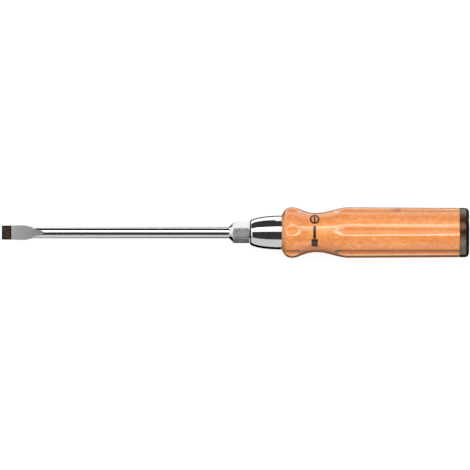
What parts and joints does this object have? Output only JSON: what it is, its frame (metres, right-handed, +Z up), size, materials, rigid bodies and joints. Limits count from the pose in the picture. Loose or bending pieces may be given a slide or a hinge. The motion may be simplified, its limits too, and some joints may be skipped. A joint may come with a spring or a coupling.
{
  "type": "slotted screwdriver",
  "caption": "Slotted screwdriver with a fluted wooden handle, a blade that runs right through it, a hexagon for a spanner and a leather striking cap.",
  "frame": {"origin": "on the surface that the tool lies on, under the middle of its length and its long axis", "axes": "+X along the tool from the blade's tip to the leather cap, +Z up; one flute of the handle faces straight down and one straight up"},
  "size_m": [0.3296, 0.0358, 0.0351],
  "materials": {
    "blade_steel": "polished",
    "ferrule_chrome": "polished",
    "handle_wood": "satin",
    "plate_steel": "satin",
    "cap_leather": "satin",
    "nail_brass": "satin"
  },
  "bodies": {
    "root": {"blade": "blade_steel", "ferrule": "ferrule_chrome", "handle": "handle_wood", "striking_plate": "plate_steel", "leather_cap": "cap_leather", "cap_nail_1": "nail_brass", "cap_nail_2": "nail_brass", "cap_nail_3": "nail_brass"}
  },
  "joints": []
}
